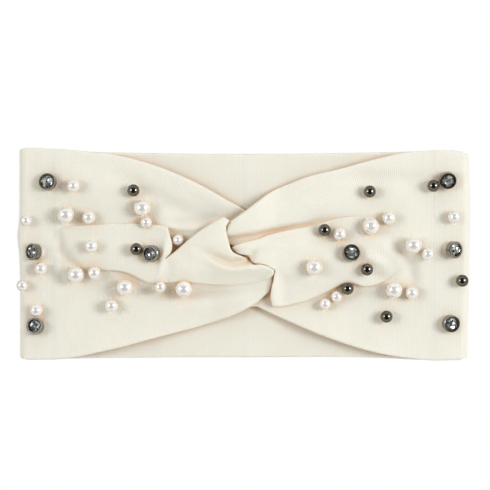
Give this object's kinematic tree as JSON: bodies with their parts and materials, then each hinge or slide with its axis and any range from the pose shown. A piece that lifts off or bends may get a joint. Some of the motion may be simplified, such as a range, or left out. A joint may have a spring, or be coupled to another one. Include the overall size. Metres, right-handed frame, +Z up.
{
  "type": "headband",
  "caption": "Wide knit headband with a crossed twist knot at the front, trimmed with riveted pearls, metal beads and cup-set stones; lies flat and opens into a loop.",
  "frame": {"origin": "centre of the face that the back band rests on, with the headband laid flat", "axes": "+X along the band to the wearer's left side fold, +Y across the band's width towards its upper edge, +Z up from the back band to the knot"},
  "size_m": [0.2263, 0.1058, 0.0222],
  "materials": {
    "jersey": "fine-gauge matt rib knit, ivory cream",
    "thread": "overlocked seam allowance, cream thread",
    "pearl": "pearlised lacquer",
    "gunmetal": "polished gunmetal plating",
    "rhinestone": "faceted, foil backed",
    "rivet_steel": "plain pressed pins and caps"
  },
  "bodies": {
    "back_centre": {"back_band_centre": "jersey", "centre_back_seam": "thread"},
    "left_back": {"back_band_left": "jersey", "left_side_seam": "thread"},
    "left_front": {"left_side_fold": "jersey", "left_rear_arm": "jersey", "left_front_arm": "jersey", "left_large_pearls": "pearl", "left_medium_pearls": "pearl", "left_small_pearls": "pearl", "left_gunmetal_beads": "gunmetal", "left_stone_cups": "gunmetal", "left_rhinestones": "rhinestone", "left_bead_pins": "rivet_steel", "left_rivet_caps": "rivet_steel"},
    "left_knot": {"left_knot_wrap": "jersey", "left_knot_underlay": "jersey"},
    "right_back": {"back_band_right": "jersey", "right_side_seam": "thread"},
    "right_front": {"right_side_fold": "jersey", "right_rear_arm": "jersey", "right_front_arm": "jersey", "right_large_pearls": "pearl", "right_medium_pearls": "pearl", "right_small_pearls": "pearl", "right_gunmetal_beads": "gunmetal", "right_stone_cups": "gunmetal", "right_rhinestones": "rhinestone", "right_bead_pins": "rivet_steel", "right_rivet_caps": "rivet_steel"},
    "right_knot": {"right_knot_wrap": "jersey", "right_knot_underlay": "jersey"}
  },
  "joints": [
    {"name": "left_back_bend", "type": "hinge", "parent": "back_centre", "child": "left_back", "pos_m": [-0.026, 0, 0.002], "axis": [0, 1, 0], "range_deg": [0, 48]},
    {"name": "left_side_fold_bend", "type": "hinge", "parent": "left_back", "child": "left_front", "pos_m": [-0.1087, 0, 0.0043], "axis": [0, -1, 0], "range_deg": [0, 96]},
    {"name": "left_front_bend", "type": "hinge", "parent": "left_front", "child": "left_knot", "pos_m": [-0.026, 0, 0.0066], "axis": [0, 1, 0], "range_deg": [0, 48]},
    {"name": "right_back_bend", "type": "hinge", "parent": "back_centre", "child": "right_back", "pos_m": [0.026, 0, 0.002], "axis": [0, -1, 0], "range_deg": [0, 48]},
    {"name": "right_side_fold_bend", "type": "hinge", "parent": "right_back", "child": "right_front", "pos_m": [0.1087, 0, 0.0043], "axis": [0, 1, 0], "range_deg": [0, 96]},
    {"name": "right_front_bend", "type": "hinge", "parent": "right_front", "child": "right_knot", "pos_m": [0.026, 0, 0.0066], "axis": [0, -1, 0], "range_deg": [0, 48]}
  ],
  "couplings": [
    {"joint": "left_side_fold_bend", "follows": "left_back_bend", "ratio": 2},
    {"joint": "left_front_bend", "follows": "left_back_bend", "ratio": 1},
    {"joint": "right_back_bend", "follows": "left_back_bend", "ratio": 1},
    {"joint": "right_side_fold_bend", "follows": "left_back_bend", "ratio": 2},
    {"joint": "right_front_bend", "follows": "left_back_bend", "ratio": 1}
  ]
}
